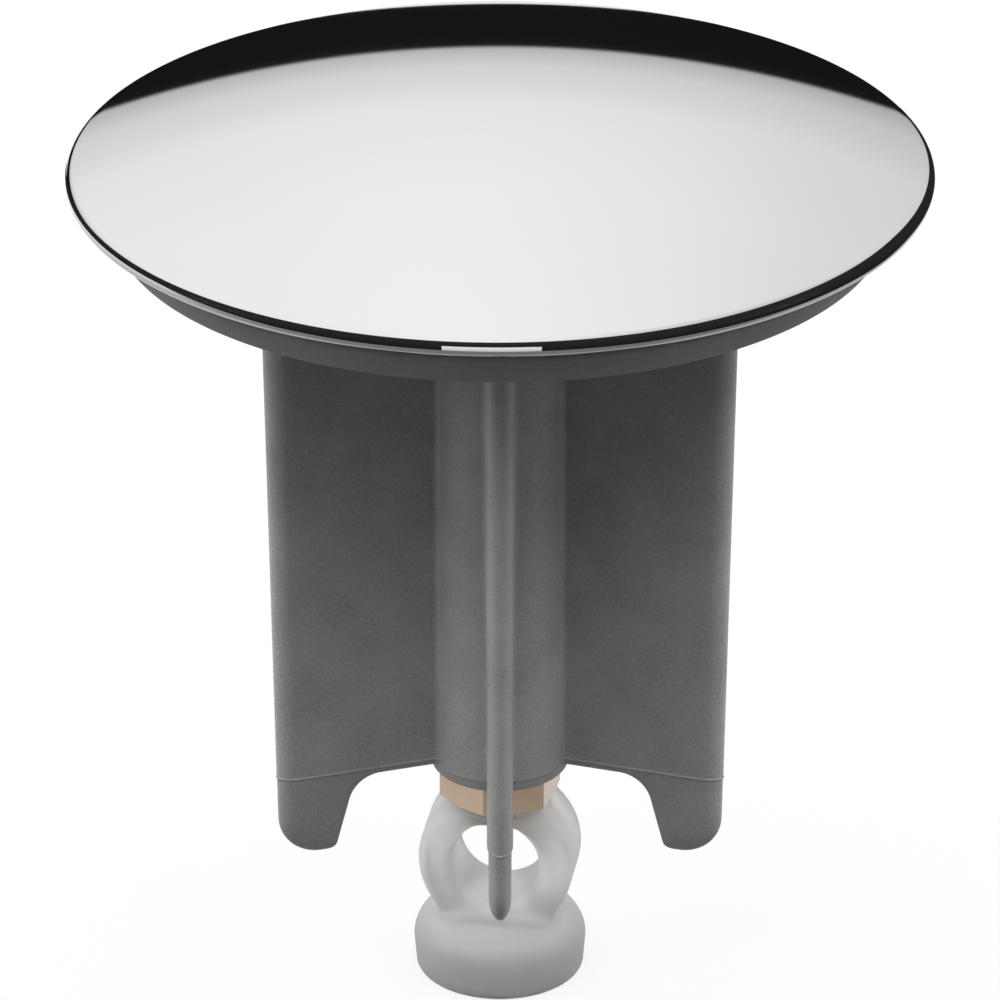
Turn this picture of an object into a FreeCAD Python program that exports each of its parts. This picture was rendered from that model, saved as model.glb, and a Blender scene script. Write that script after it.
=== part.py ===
import FreeCAD, Part
import math
import os

# Basin plug with a chromed cap, a finned guide and a screw adjuster that ends in an eye for the lever rod.
# Millimetres. +Z is up, the origin is the centre of the foot's underside, and one fin points along -Y.

Vector = FreeCAD.Vector
full_turn = 360.0
up = Vector(0, 0, 1)
origin = Vector(0, 0, 0)

# Fits and cuts shared by several pieces
overrun = 1.0
turning_gap = 0.05
thread_clearance = 0.05
insert_clearance = 0.02
braze_gap = 0.05
seal_clearance = 0.05
point_tolerance = 1e-6

# Thread of both studs, drawn as rings of the thread's depth
stud_diameter = 5.0
thread_pitch = 0.8
thread_depth = 0.4
thread_lead = 0.7

# Adjuster eye: a thick ring on tapered cheeks, its hole level and a little off the fore-and-aft line
eye_axis_height = 9.9
eye_hole_diameter = 6.7
eye_wall = 2.6
eye_width = 6.0
eye_edge_radius = 0.7
eye_turn_degrees = -9.0
eye_cheek_degrees = 10.0
eye_crown = 1.6
eye_collar_diameter = 8.0
eye_collar_height = 0.45
eye_collar_taper = 1.0

# Foot under the eye
foot_diameter = 13.2
foot_base_diameter = 12.8
foot_height = 5.0
foot_shoulder_radius = 2.6
foot_edge_radius = 0.4
foot_blend_radius = 0.8

# Adjuster stud, with a smooth spigot moulded into the eye
spigot_diameter = 3.8
spigot_length = 1.4
spigot_groove_depth = 0.3
spigot_groove_width = 0.5
adjuster_travel = 10.0
stud_reserve = 2.0

# Lock nut
nut_sides = 6
nut_flats = 8.2
nut_thickness = 2.55
nut_turn_degrees = 14.3
nut_chamfer_degrees = 20.0
nut_countersink = 0.3

# Guide: column, flange and boss
column_diameter = 10.5
column_length = 45.65
column_edge_radius = 0.5
channel_diameter = 5.8
flange_diameter = 53.0
flange_thickness = 1.5
boss_diameter = 16.0
boss_height = 3.0

# Guide fins: tapered plates with an arch at the foot and a prong outside it
fin_count = 5
fin_top_radius = 18.1
fin_tip_radius = 17.4
fin_top_thickness = 2.35
fin_tip_thickness = 1.7
fin_edge_radius = 0.5
fin_root_radius = 0.5
arch_rise = 0.85
arch_radius = 2.5
prong_drop = 5.3
prong_root_radius = 11.6
prong_tip_radius = 13.3
prong_outer_round = 3.3
prong_inner_round = 1.0

# Threaded bushes pressed into the column
bush_diameter = 7.0
upper_bush_length = 10.0
lower_bush_length = 8.0
bush_groove_depth = 0.5
bush_groove_width = 2.0
bush_chamfer = 0.4

# Seal ring, gripping the rim of the flange
seal_wall = 1.35
seal_cone_run = 2.2
seal_top_lip = 1.0
seal_bottom_lip = 0.9
seal_grip = 2.0
seal_neck_depth = 0.9
seal_neck_height = 0.5
seal_lip_round = 0.3
seal_base_round = 0.5

# Cap: domed sheet folded under at the rim into a round bead
cap_diameter = 63.0
rim_bead_diameter = 1.5
dome_rise = 5.05
sheet_thickness = 0.75
hem_width = 4.0

# Cap stud with the hub that is brazed under the dome
hub_diameter = 12.0
cap_stud_length = 9.0

# Heights and radii that follow from the sizes above
stud_radius = stud_diameter / 2
threaded_bore_radius = stud_radius + thread_clearance
eye_hole_radius = eye_hole_diameter / 2
eye_top = eye_axis_height + eye_hole_radius + eye_crown
nut_bottom = eye_top + turning_gap
nut_top = nut_bottom + nut_thickness
column_bottom = nut_top + turning_gap
flange_bottom = column_bottom + column_length
flange_top = flange_bottom + flange_thickness
boss_top = flange_top + boss_height
seal_top = flange_top + seal_top_lip
seal_bottom = flange_bottom - seal_bottom_lip
bead_radius = rim_bead_diameter / 2
rim_height = seal_top + bead_radius
rim_radius = cap_diameter / 2 - bead_radius
dome_radius = (rim_radius**2 + dome_rise**2 - bead_radius**2) / (2 * (dome_rise - bead_radius))
dome_centre = rim_height + dome_rise - dome_radius
dome_inner_radius = dome_radius - sheet_thickness


def at(radius, height):
    """Point of an upright profile, by its distance from the axis and its height."""
    return Vector(radius, 0, height)


def rounded_wire(corners):
    """Closed outline through corners, each a point and the radius of the arc that rounds it."""
    stretches = []
    for index, (corner, radius) in enumerate(corners):
        before = corners[index - 1][0]
        after = corners[(index + 1) % len(corners)][0]
        back = (before - corner).normalize()
        ahead = (after - corner).normalize()
        half_angle = back.getAngle(ahead) / 2
        reach = radius / math.tan(half_angle)
        bisector = (back + ahead).normalize()
        middle = corner + bisector * (radius / math.sin(half_angle) - radius)
        stretches.append((corner + back * reach, middle, corner + ahead * reach, radius))
    edges = []
    for index, (start, middle, end, radius) in enumerate(stretches):
        if radius > 0:
            edges.append(Part.Arc(start, middle, end).toShape())
        following = stretches[(index + 1) % len(stretches)][0]
        if end.distanceToPoint(following) > point_tolerance:
            edges.append(Part.makeLine(end, following))
    return Part.Wire(edges)


def turned(wire):
    """Solid of revolution of an upright profile about the Z axis."""
    return Part.Face(wire).revolve(origin, up, full_turn)


def turned_sharp(points):
    """Solid of revolution of a profile with sharp corners, given as radius and height pairs."""
    return turned(Part.makePolygon([at(*pair) for pair in points + points[:1]]))


def on_sphere(radius, angle):
    """Profile point on a sphere about the dome's centre, at an angle from the axis."""
    return at(radius * math.sin(angle), dome_centre + radius * math.cos(angle))


def ring_thread(lower_end, upper_end):
    """Profile points of a ringed thread, from its lower end to its upper end."""
    turns = int((upper_end - lower_end) / thread_pitch)
    points = []
    for turn in range(turns):
        base = lower_end + turn * thread_pitch
        points.append((stud_radius, base))
        points.append((stud_radius - thread_depth, base + thread_pitch / 2))
    points.append((stud_radius, lower_end + turns * thread_pitch))
    return points


def make_cap():
    """Domed shell with a round bead at the rim and a flat hem under it."""
    edge_angle = math.asin(rim_radius / (dome_radius - bead_radius))
    bead_angle = (edge_angle + math.pi) / 2
    hem_radius = rim_radius - hem_width
    hem_angle = math.asin(hem_radius / dome_inner_radius)
    apex = on_sphere(dome_radius, 0)
    edge = on_sphere(dome_radius, edge_angle)
    widest = at(rim_radius + bead_radius * math.sin(bead_angle), rim_height + bead_radius * math.cos(bead_angle))
    hem_outside = at(rim_radius, seal_top)
    hem_inside = at(hem_radius, seal_top)
    inner_edge = on_sphere(dome_inner_radius, hem_angle)
    inner_apex = on_sphere(dome_inner_radius, 0)
    return turned(Part.Wire([
        Part.Arc(apex, on_sphere(dome_radius, edge_angle / 2), edge).toShape(),
        Part.Arc(edge, widest, hem_outside).toShape(),
        Part.makeLine(hem_outside, hem_inside),
        Part.makeLine(hem_inside, inner_edge),
        Part.Arc(inner_edge, on_sphere(dome_inner_radius, hem_angle / 2), inner_apex).toShape(),
        Part.makeLine(inner_apex, apex),
    ]))


def make_cap_stud():
    """Round hub shaped to the inside of the dome, with a threaded stud under it."""
    contact_radius = dome_inner_radius - braze_gap
    hub_angle = math.asin(hub_diameter / 2 / contact_radius)
    hub_edge = on_sphere(contact_radius, hub_angle)
    hub_top = on_sphere(contact_radius, 0)
    hub_foot = at(hub_diameter / 2, boss_top)
    axis_foot = at(0, boss_top)
    hub = turned(Part.Wire([
        Part.Arc(hub_top, on_sphere(contact_radius, hub_angle / 2), hub_edge).toShape(),
        Part.makeLine(hub_edge, hub_foot),
        Part.makeLine(hub_foot, axis_foot),
        Part.makeLine(axis_foot, hub_top),
    ]))
    tip = boss_top - cap_stud_length
    profile = [(0, tip), (stud_radius - thread_lead, tip)]
    profile += ring_thread(tip + thread_lead, boss_top)
    profile += [(stud_radius, boss_top), (0, boss_top)]
    return hub.fuse(turned_sharp(profile)).removeSplitter()


def make_seal_ring():
    """Ring with a conical outer face and a groove that grips the rim of the flange."""
    groove_radius = flange_diameter / 2 + seal_clearance
    base_radius = groove_radius + seal_wall
    lip_radius = base_radius + seal_cone_run
    neck_radius = lip_radius - seal_neck_depth
    lip_top = seal_top - seal_neck_height
    grip_radius = flange_diameter / 2 - seal_grip
    return turned(rounded_wire([
        (at(grip_radius, seal_top), 0),
        (at(neck_radius, seal_top), 0),
        (at(neck_radius, lip_top), 0),
        (at(lip_radius, lip_top), seal_lip_round),
        (at(base_radius, seal_bottom), seal_base_round),
        (at(grip_radius, seal_bottom), 0),
        (at(grip_radius, flange_bottom), 0),
        (at(groove_radius, flange_bottom), 0),
        (at(groove_radius, flange_top), 0),
        (at(grip_radius, flange_top), 0),
    ]))


def make_fin():
    """One fin in the XZ plane, from the axis outwards, with its free edges rounded."""
    arch_top = column_bottom + arch_rise
    prong_bottom = column_bottom - prong_drop
    outline = rounded_wire([
        (at(0, flange_top), 0),
        (at(fin_top_radius, flange_top), 0),
        (at(fin_tip_radius, prong_bottom), prong_outer_round),
        (at(prong_tip_radius, prong_bottom), prong_inner_round),
        (at(prong_root_radius, arch_top), arch_radius),
        (at(0, arch_top), 0),
    ])
    outline.translate(Vector(0, -fin_top_thickness, 0))
    plate = Part.Face(outline).extrude(Vector(0, 2 * fin_top_thickness, 0))
    slab_corners = [
        Vector(-overrun, fin_top_thickness / 2, flange_top),
        Vector(-overrun, -fin_top_thickness / 2, flange_top),
        Vector(-overrun, -fin_tip_thickness / 2, prong_bottom),
        Vector(-overrun, fin_tip_thickness / 2, prong_bottom),
    ]
    slab = Part.Face(Part.makePolygon(slab_corners + slab_corners[:1]))
    fin = plate.common(slab.extrude(Vector(fin_top_radius + 2 * overrun, 0, 0)))
    column_radius = column_diameter / 2
    free_edges = []
    for edge in fin.Edges:
        box = edge.BoundBox
        lies_on_side = box.YMin * box.YMax > 0
        if lies_on_side and box.XMax > column_radius and box.ZMin < flange_bottom:
            free_edges.append(edge)
    return fin.makeFillet(fin_edge_radius, free_edges)


def make_guide():
    """Flange, boss, column and fins in one moulding, bored for the bushes and the stud."""
    column_radius = column_diameter / 2
    column = turned(rounded_wire([
        (at(0, column_bottom), 0),
        (at(column_radius, column_bottom), column_edge_radius),
        (at(column_radius, flange_top), 0),
        (at(0, flange_top), 0),
    ]))
    flange = Part.makeCylinder(flange_diameter / 2, flange_thickness, at(0, flange_bottom))
    boss = Part.makeCylinder(boss_diameter / 2, boss_height + flange_thickness, at(0, flange_bottom))
    fins = []
    for index in range(fin_count):
        fin = make_fin()
        fin.rotate(origin, up, index * full_turn / fin_count - full_turn / 4)
        fins.append(fin)
    body = column.multiFuse([flange, boss] + fins).removeSplitter()
    roots = []
    for edge in body.Edges:
        box = edge.BoundBox
        middle = edge.valueAt((edge.FirstParameter + edge.LastParameter) / 2)
        on_column = abs(math.hypot(middle.x, middle.y) - column_radius) < fin_root_radius
        if on_column and box.ZLength > column_length / 2:
            roots.append(edge)
    body = body.makeFillet(fin_root_radius, roots)
    bush_bore = bush_diameter / 2 + insert_clearance
    upper_bore = Part.makeCylinder(bush_bore, upper_bush_length + overrun, at(0, boss_top - upper_bush_length))
    lower_bore = Part.makeCylinder(bush_bore, lower_bush_length + overrun, at(0, column_bottom - overrun))
    channel = Part.makeCylinder(channel_diameter / 2, boss_top - column_bottom, at(0, column_bottom))
    return body.cut(upper_bore).cut(lower_bore).cut(channel)


def make_bush(lower_end, length):
    """Threaded bush with a retaining groove round its middle and chamfered ends."""
    outer = bush_diameter / 2
    upper_end = lower_end + length
    groove_low = lower_end + (length - bush_groove_width) / 2
    groove_high = groove_low + bush_groove_width
    return turned_sharp([
        (threaded_bore_radius, lower_end),
        (outer - bush_chamfer, lower_end),
        (outer, lower_end + bush_chamfer),
        (outer, groove_low),
        (outer - bush_groove_depth, groove_low),
        (outer - bush_groove_depth, groove_high),
        (outer, groove_high),
        (outer, upper_end - bush_chamfer),
        (outer - bush_chamfer, upper_end),
        (threaded_bore_radius, upper_end),
    ])


def make_lock_nut():
    """Thin hexagon nut with its corners chamfered below and a countersunk threaded hole."""
    flat_radius = nut_flats / 2
    corner_radius = flat_radius / math.cos(math.pi / nut_sides)
    corners = []
    for index in range(nut_sides):
        angle = math.radians(nut_turn_degrees + index * full_turn / nut_sides)
        corners.append(Vector(corner_radius * math.cos(angle), corner_radius * math.sin(angle), nut_bottom))
    prism = Part.Face(Part.makePolygon(corners + corners[:1])).extrude(Vector(0, 0, nut_thickness))
    drop = (corner_radius - flat_radius) * math.tan(math.radians(nut_chamfer_degrees))
    envelope = turned_sharp([
        (threaded_bore_radius + nut_countersink, nut_bottom),
        (flat_radius, nut_bottom),
        (corner_radius, nut_bottom + drop),
        (corner_radius, nut_top),
        (threaded_bore_radius + nut_countersink, nut_top),
        (threaded_bore_radius, nut_top - nut_countersink),
        (threaded_bore_radius, nut_bottom + nut_countersink),
    ])
    return prism.common(envelope)


def make_adjuster_stud():
    """Threaded stud with a grooved spigot for the eye at its lower end."""
    spigot_radius = spigot_diameter / 2
    spigot_bottom = eye_top - spigot_length
    groove_low = spigot_bottom + (spigot_length - spigot_groove_width) / 2
    groove_high = groove_low + spigot_groove_width
    tip = column_bottom + lower_bush_length + adjuster_travel + stud_reserve
    profile = [
        (0, spigot_bottom),
        (spigot_radius, spigot_bottom),
        (spigot_radius, groove_low),
        (spigot_radius - spigot_groove_depth, groove_low),
        (spigot_radius - spigot_groove_depth, groove_high),
        (spigot_radius, groove_high),
        (spigot_radius, nut_bottom),
    ]
    profile += ring_thread(nut_bottom, tip - thread_lead)
    profile += [(stud_radius - thread_lead, tip), (0, tip)]
    return turned_sharp(profile)


def make_eye_ring():
    """Ring about the lever rod's axis, with cheeks that taper down into the foot and rounded edges."""
    outer = eye_hole_radius + eye_wall
    cheek = math.radians(eye_cheek_degrees)
    side = outer * math.cos(cheek)
    side_height = eye_axis_height - outer * math.sin(cheek)
    cheek_bottom = foot_height - foot_shoulder_radius / 2
    bottom = side - (side_height - cheek_bottom) * math.tan(cheek)
    half_width = eye_width / 2
    right_side = Vector(side, -half_width, side_height)
    left_side = Vector(-side, -half_width, side_height)
    right_foot = Vector(bottom, -half_width, cheek_bottom)
    left_foot = Vector(-bottom, -half_width, cheek_bottom)
    crown = Vector(0, -half_width, eye_axis_height + outer)
    outline = Part.Wire([
        Part.Arc(right_side, crown, left_side).toShape(),
        Part.makeLine(left_side, left_foot),
        Part.makeLine(left_foot, right_foot),
        Part.makeLine(right_foot, right_side),
    ])
    block = Part.Face(outline).extrude(Vector(0, eye_width, 0))
    hole = Part.makeCylinder(
        eye_hole_radius, eye_width + 2 * overrun, Vector(0, -half_width - overrun, eye_axis_height), Vector(0, 1, 0))
    ring = block.cut(hole)
    rims = []
    for edge in ring.Edges:
        if edge.BoundBox.YLength < point_tolerance and edge.BoundBox.ZMax > foot_height:
            rims.append(edge)
    ring = ring.makeFillet(eye_edge_radius, rims)
    ring.rotate(origin, up, eye_turn_degrees)
    return ring


def make_adjuster_eye():
    """Eye ring with a seat for the nut on top and the round foot below, in one moulding."""
    foot_radius = foot_diameter / 2
    foot = turned(rounded_wire([
        (at(0, 0), 0),
        (at(foot_base_diameter / 2, 0), foot_edge_radius),
        (at(foot_radius, foot_height - foot_shoulder_radius), 0),
        (at(foot_radius, foot_height), foot_shoulder_radius),
        (at(0, foot_height), 0),
    ]))
    collar_radius = eye_collar_diameter / 2
    collar_foot = eye_top - eye_collar_height
    collar = turned_sharp([
        (0, eye_top),
        (collar_radius, eye_top),
        (collar_radius, collar_foot),
        (collar_radius - eye_collar_taper, collar_foot - eye_collar_taper),
        (0, collar_foot - eye_collar_taper),
    ])
    above_seat = Part.makeCylinder(foot_diameter, eye_width, at(0, eye_top))
    ring = make_eye_ring().cut(above_seat)
    lower = foot.fuse(ring).removeSplitter()
    joint_edges = []
    for edge in lower.Edges:
        lowest = min(vertex.Z for vertex in edge.Vertexes)
        highest = max(vertex.Z for vertex in edge.Vertexes)
        level = max(foot_height - lowest, highest - foot_height) < point_tolerance
        if level and not edge.isClosed():
            joint_edges.append(edge)
    body = lower.makeFillet(foot_blend_radius, joint_edges).fuse(collar).removeSplitter()
    spigot_bore = Part.makeCylinder(
        spigot_diameter / 2 + thread_clearance,
        spigot_length + turning_gap + overrun,
        at(0, eye_top - spigot_length - turning_gap),
    )
    return body.cut(spigot_bore)


def main():
    """Write each piece as a STEP file of its own."""
    pieces = {
        "cap": make_cap(),
        "cap_stud": make_cap_stud(),
        "seal_ring": make_seal_ring(),
        "guide": make_guide(),
        "upper_bush": make_bush(boss_top - upper_bush_length, upper_bush_length),
        "lower_bush": make_bush(column_bottom, lower_bush_length),
        "lock_nut": make_lock_nut(),
        "adjuster_stud": make_adjuster_stud(),
        "adjuster_eye": make_adjuster_eye(),
    }
    os.makedirs("parts", exist_ok=True)
    for name, shape in pieces.items():
        shape.exportStep(f"parts/{name}.step")
        box = shape.BoundBox
        print(name, "solids", len(shape.Solids), "valid", shape.isValid(), "volume", round(shape.Volume, 2),
              "z", round(box.ZMin, 2), round(box.ZMax, 2), "faces", len(shape.Faces))


main()
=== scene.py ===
"""Basin plug with a chromed cap, a finned guide and a screw adjuster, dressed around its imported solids."""
import logging
import math
from dataclasses import dataclass
from enum import Enum
from typing import Any, Callable, Mapping, Sequence, Union

import bmesh
import bpy
import numpy as np
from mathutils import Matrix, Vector


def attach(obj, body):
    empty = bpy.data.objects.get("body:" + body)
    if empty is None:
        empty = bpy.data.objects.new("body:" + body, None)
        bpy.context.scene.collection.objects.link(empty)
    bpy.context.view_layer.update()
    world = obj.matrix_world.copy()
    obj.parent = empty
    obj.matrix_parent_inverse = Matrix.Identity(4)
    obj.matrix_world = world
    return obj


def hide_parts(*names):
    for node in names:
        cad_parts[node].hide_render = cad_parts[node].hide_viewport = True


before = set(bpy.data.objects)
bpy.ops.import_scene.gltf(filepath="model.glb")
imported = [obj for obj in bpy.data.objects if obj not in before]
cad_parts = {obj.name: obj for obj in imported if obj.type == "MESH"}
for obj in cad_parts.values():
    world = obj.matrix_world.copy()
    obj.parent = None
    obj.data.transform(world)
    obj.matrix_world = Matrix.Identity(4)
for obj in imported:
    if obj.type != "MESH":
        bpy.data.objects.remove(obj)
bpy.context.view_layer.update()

LOG = logging.getLogger("plug")
MM = 0.001
FULL_TURN = 2.0 * math.pi
MERGE_DISTANCE = 1e-8
ALL_SMOOTH = 180.0
Triple = tuple[float, float, float]
Stops = tuple[tuple[float, float], ...]


class Body(Enum):
    """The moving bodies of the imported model."""

    GUIDE = "guide"
    STUD = "adjuster_stud"
    EYE = "adjuster_eye"
    NUT = "lock_nut"


class Slot(Enum):
    """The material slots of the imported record."""

    CHROME = "chrome"
    SEAL = "seal"
    GUIDE = "guide_plastic"
    BRASS = "brass"
    NUT = "nut_brass"
    EYE = "eye_plastic"


def math_operator(operation: str, swapped: bool = False) -> Callable[["Sock", "Value"], "Sock"]:
    """Method that joins its socket and a value in a Math node, with the value first if swapped."""
    def joined(sock: "Sock", other: "Value") -> "Sock":
        """Add the Math node and return its result."""
        first, second = (other, sock) if swapped else (sock, other)
        return sock.shader.node("ShaderNodeMath", {"operation": operation}, {0: first, 1: second})

    return joined


class Sock:
    """One output socket of a shader tree, usable in sums."""

    def __init__(self, shader: "Shader", socket: bpy.types.NodeSocket) -> None:
        """Keep the tree and the socket."""
        self.shader = shader
        self.socket = socket

    __add__ = math_operator("ADD")
    __radd__ = math_operator("ADD", swapped=True)
    __sub__ = math_operator("SUBTRACT")
    __rsub__ = math_operator("SUBTRACT", swapped=True)
    __mul__ = math_operator("MULTIPLY")
    __rmul__ = math_operator("MULTIPLY", swapped=True)
    larger = math_operator("MAXIMUM")


Value = Union[float, Sequence[float], Sock]


class Shader:
    """A node tree under construction, for a material or the world."""

    def __init__(self, tree: bpy.types.NodeTree) -> None:
        """Empty the tree and keep it.

        Args:
            tree: Node tree of a material or of the world.
        """
        self.tree = tree
        tree.nodes.clear()

    def node(self, kind: str, settings: Mapping[str, Any], inputs: Mapping[Any, Value],
             output: Any = 0) -> Sock:
        """Add one node.

        Args:
            kind: Node type.
            settings: Attributes set first; "stops" holds a ramp's (place, grey) pairs and "easing" its curve.
            inputs: Value or link of each socket, by name or index.
            output: Name or index of the output that is returned.

        Returns:
            The chosen output.
        """
        made = self.tree.nodes.new(kind)
        for name, value in settings.items():
            if name == "stops":
                self._set_stops(made.color_ramp, value)
            elif name == "easing":
                made.color_ramp.interpolation = value
            else:
                setattr(made, name, value)
        for name, value in inputs.items():
            if isinstance(value, Sock):
                self.tree.links.new(value.socket, made.inputs[name])
            else:
                made.inputs[name].default_value = value
        return Sock(self, made.outputs[output] if len(made.outputs) else made.inputs[0])

    @staticmethod
    def _set_stops(ramp: bpy.types.ColorRamp, stops: Stops) -> None:
        """Give a ramp its stops.

        Args:
            ramp: Ramp of a Color Ramp node.
            stops: Places and grey levels, in rising order.
        """
        while len(ramp.elements) < len(stops):
            ramp.elements.new(1.0)
        for element, (place, grey) in zip(ramp.elements, stops):
            element.position = place
            element.color = (grey, grey, grey, 1.0)

    def place(self) -> Sock:
        """Object coordinates in millimetres."""
        coordinates = self.node("ShaderNodeTexCoord", {}, {}, "Object")
        return self.node("ShaderNodeVectorMath", {"operation": "SCALE"}, {0: coordinates, "Scale": 1.0 / MM})

    def stretched(self, place: Sock, factors: Sequence[float]) -> Sock:
        """Coordinates multiplied by one factor an axis."""
        return self.node("ShaderNodeVectorMath", {"operation": "MULTIPLY"}, {0: place, 1: factors})

    def noise(self, place: Sock, scale: float, detail: float = 2.0) -> Sock:
        """Soft noise between 0 and 1, with scale waves a millimetre."""
        return self.node("ShaderNodeTexNoise", {}, {"Vector": place, "Scale": scale, "Detail": detail})

    def part(self, place: Sock, axis: str) -> Sock:
        """One coordinate of a place or a direction."""
        return self.node("ShaderNodeSeparateXYZ", {}, {"Vector": place}, axis)

    def is_ray(self, kind: str) -> Sock:
        """One for rays of a kind, such as Camera, and nought for all others."""
        return self.node("ShaderNodeLightPath", {}, {}, f"Is {kind} Ray")

    def ramp(self, value: Sock, stops: Stops = ((0.0, 0.0), (1.0, 1.0)), easing: str = "LINEAR") -> Sock:
        """A value passed through a ramp of grey stops, by default held between 0 and 1."""
        return self.node("ShaderNodeValToRGB", {"stops": stops, "easing": easing}, {"Fac": value})

    def tinted(self, factor: Value, low: Sequence[float], high: Sequence[float]) -> Sock:
        """A colour between low and high, by a factor from 0 to 1."""
        settings = {"data_type": "RGBA"}
        return self.node("ShaderNodeMix", settings, {0: factor, 6: (*low, 1.0), 7: (*high, 1.0)}, 2)

    def shaded(self, colour: Sock, level: Sock) -> Sock:
        """A colour multiplied by a level."""
        return self.node("ShaderNodeVectorMath", {"operation": "SCALE"}, {"Vector": colour, "Scale": level})

    def bump(self, height: Sock, depth: float) -> Sock:
        """A normal bent by a height field whose full range is depth millimetres."""
        return self.node("ShaderNodeBump", {}, {"Height": height, "Distance": depth * MM})


def start_material(name: str) -> tuple[bpy.types.Material, Shader]:
    """Make a material with an empty tree.

    Args:
        name: Name of the material.

    Returns:
        The material and its tree.
    """
    made = bpy.data.materials.new(name)
    made.use_nodes = True
    return made, Shader(made.node_tree)


class Finish:
    """A material made of one Principled shader whose colour, roughness and relief vary."""

    name = "finish"

    def dress(self, shader: Shader) -> dict[str, Value]:
        """Values and links of the Principled shader's sockets."""
        raise NotImplementedError

    def material(self) -> bpy.types.Material:
        """Make the material."""
        made, shader = start_material(self.name)
        surface = shader.node("ShaderNodeBsdfPrincipled", {}, self.dress(shader))
        shader.node("ShaderNodeOutputMaterial", {}, {"Surface": surface})
        return made


@dataclass(frozen=True)
class BrightChrome(Finish):
    """Bright chrome plate with faint wiping marks."""

    name: str = "bright_chrome"
    colour: Triple = (0.885, 0.882, 0.878)
    dull_colour: Triple = (0.868, 0.866, 0.864)
    roughness: float = 0.035
    haze: float = 0.03
    haze_waves: float = 0.12
    mark_waves: float = 1.6
    mark_stretch: Triple = (0.25, 2.2, 2.2)
    # the next three fields set a painted shade under the rim
    under_rim_shade: float = 0.42
    under_rim_shade_below: float = 66.2
    under_rim_shade_edge: float = 0.5

    def dress(self, shader: Shader) -> dict[str, Value]:
        """Roughness and tint drift slowly over the plate and along fine wiping marks.

        Under the rim the colour is painted darker, a painted shade that dims the reflections there.
        """
        place = shader.place()
        # painted shade: below the rim's height the colour falls to a given share, which dims the reflections
        # under the rim
        over_edge = (shader.part(place, "Z") - self.under_rim_shade_below) * (1.0 / self.under_rim_shade_edge)
        plate = shader.ramp(over_edge, ((0.0, self.under_rim_shade), (1.0, 1.0)))
        haze = shader.noise(place, self.haze_waves, detail=3.0)
        marks = shader.noise(shader.stretched(place, self.mark_stretch), self.mark_waves, detail=4.0)
        return {
            "Base Color": shader.shaded(shader.tinted(haze, self.colour, self.dull_colour), plate),
            "Metallic": 1.0,
            "Roughness": self.roughness + self.haze * haze * marks,
        }


@dataclass(frozen=True)
class GrainedPlastic(Finish):
    """Matte moulded plastic or elastomer with a fine spark-eroded grain."""

    name: str = "grained_plastic"
    dark: Triple = (0.28, 0.279, 0.276)
    light: Triple = (0.46, 0.459, 0.455)
    roughness: float = 0.40
    roughness_spread: float = 0.16
    grain: float = 5.5
    grain_share: float = 0.6
    cloud_waves: float = 0.22
    tone_stops: Stops = ((0.30, 0.0), (0.72, 1.0))
    relief: float = 0.012
    specular: float = 0.5
    # the next three fields set a painted shade towards the tips
    tip_shade: float = 0.74
    tip_shade_from: float = 11.0
    tip_shade_length: float = 10.0
    # the next three fields set a painted highlight near the side edges
    edge_highlight: float = 1.0
    edge_highlight_from: float = 15.6
    edge_highlight_width: float = 1.25

    def dress(self, shader: Shader) -> dict[str, Value]:
        """Fine grain in tone and relief over slow clouds of tone.

        The colour is painted darker towards the tips as painted shade, and may be painted lighter near the
        side edges as a painted highlight.
        """
        place = shader.place()
        # painted shade: the colour darkens towards the bottom, below the given height; this level also
        # carries the painted highlight of the side edges
        above_tip = (shader.part(place, "Z") - self.tip_shade_from) * (1.0 / self.tip_shade_length)
        painted_light_level = shader.ramp(above_tip, ((0.0, self.tip_shade), (1.0, 1.0)))
        # painted highlight: past a given sideways distance the colour is lightened, along the side fins'
        # outer edges
        across = shader.part(place, "X")
        aside = across.larger(0.0 - across)
        edge_highlight_mask = shader.ramp((aside - self.edge_highlight_from) * (1.0 / self.edge_highlight_width))
        painted_light_level = painted_light_level * (1.0 + (self.edge_highlight - 1.0) * edge_highlight_mask)
        grain = shader.noise(place, self.grain, detail=3.0)
        clouds = shader.noise(place, self.cloud_waves, detail=3.0)
        mixed = grain * self.grain_share + clouds * (1.0 - self.grain_share)
        tone = shader.ramp(mixed, self.tone_stops)
        return {
            "Base Color": shader.shaded(shader.tinted(tone, self.dark, self.light), painted_light_level),
            "Roughness": self.roughness + self.roughness_spread * grain,
            "Specular IOR Level": self.specular,
            "Normal": shader.bump(grain, self.relief),
        }


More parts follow.
